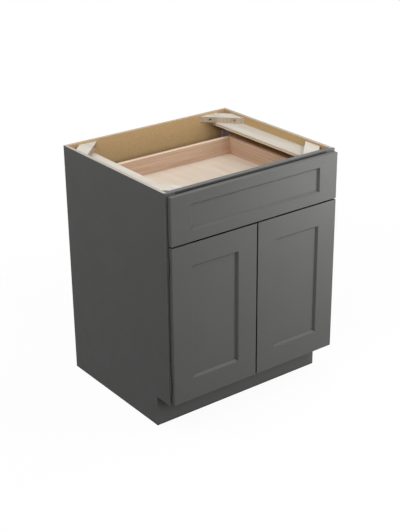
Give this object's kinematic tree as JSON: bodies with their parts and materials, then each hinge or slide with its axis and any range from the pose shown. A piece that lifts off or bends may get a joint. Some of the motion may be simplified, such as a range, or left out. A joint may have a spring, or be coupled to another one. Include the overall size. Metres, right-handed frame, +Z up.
{
  "type": "base cabinet with rollout trays",
  "caption": "Kitchen base cabinet with a drawer above framed overlay doors and dovetailed rollout trays on slides inside, on a recessed toe kick.",
  "frame": {"origin": "on the floor, at the middle of the overall width and depth", "axes": "+X to the right seen from the front, +Y towards the wall behind the cabinet, +Z up"},
  "size_m": [0.7154, 0.6306, 0.8763],
  "materials": {
    "grey_paint": "satin grey paint on wood",
    "golden_ply": "clear-coated plywood",
    "cream_wood": "pale bare plywood",
    "box_wood": "clear-coated hardwood",
    "box_bottom_ply": "clear-coated pale plywood",
    "slide_steel": "bright zinc",
    "bracket_steel": "dull plated steel",
    "hinge_steel": "painted to match the doors",
    "screw_steel": "yellow zinc",
    "bumper": "soft clear grey"
  },
  "bodies": {
    "carcass": {"left_side_panel": "grey_paint", "right_side_panel": "grey_paint", "back_panel": "golden_ply", "bottom_panel": "golden_ply", "toe_kick_board": "grey_paint", "left_stile": "grey_paint", "right_stile": "grey_paint", "top_rail": "grey_paint", "middle_rail": "grey_paint", "bottom_rail": "grey_paint", "left_side_brace": "cream_wood", "right_side_brace": "cream_wood", "corner_blocks": "cream_wood", "corner_block_screws": "screw_steel", "front_bumpers": "bumper", "drawer_slide_cabinet_members": "slide_steel", "slide_rear_brackets": "bracket_steel", "upper_tray_slide_cabinet_members": "slide_steel", "lower_tray_slide_cabinet_members": "slide_steel", "tray_slide_posts": "cream_wood", "hinge_frame_leaves": "hinge_steel", "hinge_pins": "hinge_steel"},
    "drawer": {"drawer_box_left_side": "box_wood", "drawer_box_right_side": "box_wood", "drawer_box_front": "box_wood", "drawer_box_back": "box_wood", "drawer_box_bottom": "box_bottom_ply", "drawer_front_left_stile": "grey_paint", "drawer_front_right_stile": "grey_paint", "drawer_front_top_rail": "grey_paint", "drawer_front_bottom_rail": "grey_paint", "drawer_front_panel": "grey_paint", "drawer_slide_box_members": "slide_steel"},
    "drawer_middle_members": {"drawer_slide_middle_members": "slide_steel"},
    "left_door": {"left_door_left_stile": "grey_paint", "left_door_right_stile": "grey_paint", "left_door_top_rail": "grey_paint", "left_door_bottom_rail": "grey_paint", "left_door_panel": "grey_paint", "left_door_hinge_leaves": "hinge_steel"},
    "right_door": {"right_door_left_stile": "grey_paint", "right_door_right_stile": "grey_paint", "right_door_top_rail": "grey_paint", "right_door_bottom_rail": "grey_paint", "right_door_panel": "grey_paint", "right_door_hinge_leaves": "hinge_steel"},
    "upper_tray": {"upper_tray_left_side": "box_wood", "upper_tray_right_side": "box_wood", "upper_tray_front": "box_wood", "upper_tray_back": "box_wood", "upper_tray_bottom": "box_bottom_ply", "upper_tray_slide_box_members": "slide_steel"},
    "upper_tray_middle_members": {"upper_tray_slide_middle_members": "slide_steel"},
    "lower_tray": {"lower_tray_left_side": "box_wood", "lower_tray_right_side": "box_wood", "lower_tray_front": "box_wood", "lower_tray_back": "box_wood", "lower_tray_bottom": "box_bottom_ply", "lower_tray_slide_box_members": "slide_steel"},
    "lower_tray_middle_members": {"lower_tray_slide_middle_members": "slide_steel"}
  },
  "joints": [
    {"name": "drawer_slide", "type": "slide", "parent": "carcass", "child": "drawer", "axis": [0, -1, 0], "range_m": [0, 0.45]},
    {"name": "drawer_middle_slide", "type": "slide", "parent": "carcass", "child": "drawer_middle_members", "axis": [0, -1, 0], "range_m": [0, 0.225]},
    {"name": "left_door_hinge", "type": "hinge", "parent": "carcass", "child": "left_door", "pos_m": [-0.35425, -0.29728, 0.40915], "axis": [0, 0, -1], "range_deg": [0, 165]},
    {"name": "right_door_hinge", "type": "hinge", "parent": "carcass", "child": "right_door", "pos_m": [0.35425, -0.29728, 0.40915], "axis": [0, 0, 1], "range_deg": [0, 165]},
    {"name": "upper_tray_slide", "type": "slide", "parent": "carcass", "child": "upper_tray", "axis": [0, -1, 0], "range_m": [0, 0.461]},
    {"name": "upper_tray_middle_slide", "type": "slide", "parent": "carcass", "child": "upper_tray_middle_members", "axis": [0, -1, 0], "range_m": [0, 0.2305]},
    {"name": "lower_tray_slide", "type": "slide", "parent": "carcass", "child": "lower_tray", "axis": [0, -1, 0], "range_m": [0, 0.461]},
    {"name": "lower_tray_middle_slide", "type": "slide", "parent": "carcass", "child": "lower_tray_middle_members", "axis": [0, -1, 0], "range_m": [0, 0.2305]}
  ],
  "couplings": [
    {"joint": "drawer_middle_slide", "follows": "drawer_slide", "ratio": 0.5},
    {"joint": "right_door_hinge", "follows": "left_door_hinge", "ratio": 1},
    {"joint": "upper_tray_slide", "follows": "left_door_hinge", "m_per_rad": 0.16},
    {"joint": "upper_tray_middle_slide", "follows": "left_door_hinge", "m_per_rad": 0.08},
    {"joint": "lower_tray_slide", "follows": "left_door_hinge", "m_per_rad": 0.16},
    {"joint": "lower_tray_middle_slide", "follows": "left_door_hinge", "m_per_rad": 0.08}
  ]
}
